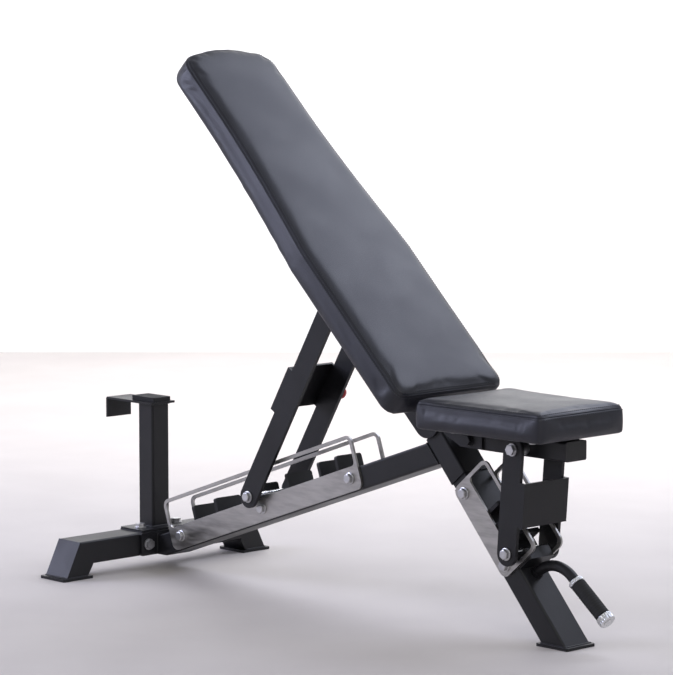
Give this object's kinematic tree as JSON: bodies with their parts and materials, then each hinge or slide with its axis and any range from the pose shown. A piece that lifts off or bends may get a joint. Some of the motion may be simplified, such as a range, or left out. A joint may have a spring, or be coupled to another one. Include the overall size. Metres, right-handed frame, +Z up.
{
  "type": "adjustable weight bench",
  "caption": "Adjustable weight bench with a tapered backrest pad and a seat, each held by a strut on a toothed ladder rail, on a sloping spine frame.",
  "frame": {"origin": "floor point under the middle of the bench's overall box", "axes": "+X along the bench from the backrest's head end to the seat and handle end, +Y across the bench, +Z up; the bench stands on z = 0"},
  "size_m": [1.5184, 0.615, 1.1662],
  "materials": {
    "frame_paint": "satin",
    "guard_steel": "brushed",
    "zinc": "satin",
    "pin_chrome": "polished",
    "pad_vinyl": "satin",
    "board": "matte",
    "rubber": "matte",
    "cap_plastic": "matte",
    "knob_plastic": "gloss",
    "aluminium": "machined"
  },
  "bodies": {
    "frame": {"rear_stabilizer": "frame_paint", "stabilizer_leg_left": "frame_paint", "stabilizer_leg_right": "frame_paint", "rear_foot_plates": "frame_paint", "foot_pads": "rubber", "spine_flange": "frame_paint", "spine_tube": "frame_paint", "leg_stub": "frame_paint", "leg_spigot": "frame_paint", "front_leg": "frame_paint", "front_foot_plate": "frame_paint", "post_base_plate": "frame_paint", "post_tube": "frame_paint", "post_top_plate": "frame_paint", "post_bumper": "rubber", "rear_guard_left": "guard_steel", "rear_guard_right": "guard_steel", "ladder_teeth": "frame_paint", "front_guard_left": "guard_steel", "front_guard_right": "guard_steel", "seat_rungs": "frame_paint", "handle_tube": "frame_paint", "handle_ring": "aluminium", "handle_grip": "rubber", "handle_end_cap": "aluminium", "hinge_lug": "frame_paint", "hinge_bolt": "zinc", "hinge_washers": "zinc", "base_bolts": "zinc", "rear_guard_bolts": "zinc", "front_guard_bolts": "zinc"},
    "backrest": {"backrest_pad": "pad_vinyl", "backrest_board": "board", "backrest_tube": "frame_paint", "backrest_tube_caps": "cap_plastic", "backrest_straps": "frame_paint", "backrest_screws": "zinc", "hinge_plate_left": "frame_paint", "hinge_plate_right": "frame_paint", "strut_shaft": "zinc"},
    "backrest_strut": {"strut_bar_left": "frame_paint", "strut_bar_right": "frame_paint", "strut_channel": "frame_paint", "strut_pin_bolts": "zinc", "strut_knob": "knob_plastic"},
    "backrest_pin": {"strut_pin": "pin_chrome"},
    "seat": {"seat_pad": "pad_vinyl", "seat_board": "board", "seat_tube": "frame_paint", "seat_tube_cap": "cap_plastic", "seat_straps": "frame_paint", "seat_screws": "zinc", "seat_plate_left": "frame_paint", "seat_plate_right": "frame_paint", "seat_strut_shaft": "zinc"},
    "seat_strut": {"seat_bar_left": "frame_paint", "seat_bar_right": "frame_paint", "seat_channel_plate": "frame_paint", "seat_pin_bolts": "zinc"},
    "seat_ladder_pin": {"seat_pin": "pin_chrome"}
  },
  "joints": [
    {"name": "backrest_hinge", "type": "hinge", "parent": "frame", "child": "backrest", "pos_m": [0.28235, 0, 0.422], "axis": [0, 1, 0], "range_deg": [-44, 31.5]},
    {"name": "backrest_strut_pivot", "type": "hinge", "parent": "backrest", "child": "backrest_strut", "pos_m": [0.02169, 0, 0.64772], "axis": [0, 1, 0], "range_deg": [-50, 70]},
    {"name": "backrest_pin_lift", "type": "slide", "parent": "frame", "child": "backrest_pin", "axis": [-0.3322, 0, 0.9432], "range_m": [0, 0.036]},
    {"name": "seat_hinge", "type": "hinge", "parent": "frame", "child": "seat", "pos_m": [0.28235, 0, 0.422], "axis": [0, -1, 0], "range_deg": [0, 14.6]},
    {"name": "seat_strut_pivot", "type": "hinge", "parent": "seat", "child": "seat_strut", "pos_m": [0.54785, 0, 0.393], "axis": [0, 1, 0], "range_deg": [0, 36]},
    {"name": "seat_pin_lift", "type": "slide", "parent": "frame", "child": "seat_ladder_pin", "axis": [0.7547, 0, 0.6561], "range_m": [0, 0.036]}
  ],
  "couplings": [
    {"joint": "backrest_strut_pivot", "follows": "backrest_hinge", "ratio": -1.58},
    {"joint": "seat_strut_pivot", "follows": "seat_hinge", "ratio": 2.4}
  ]
}
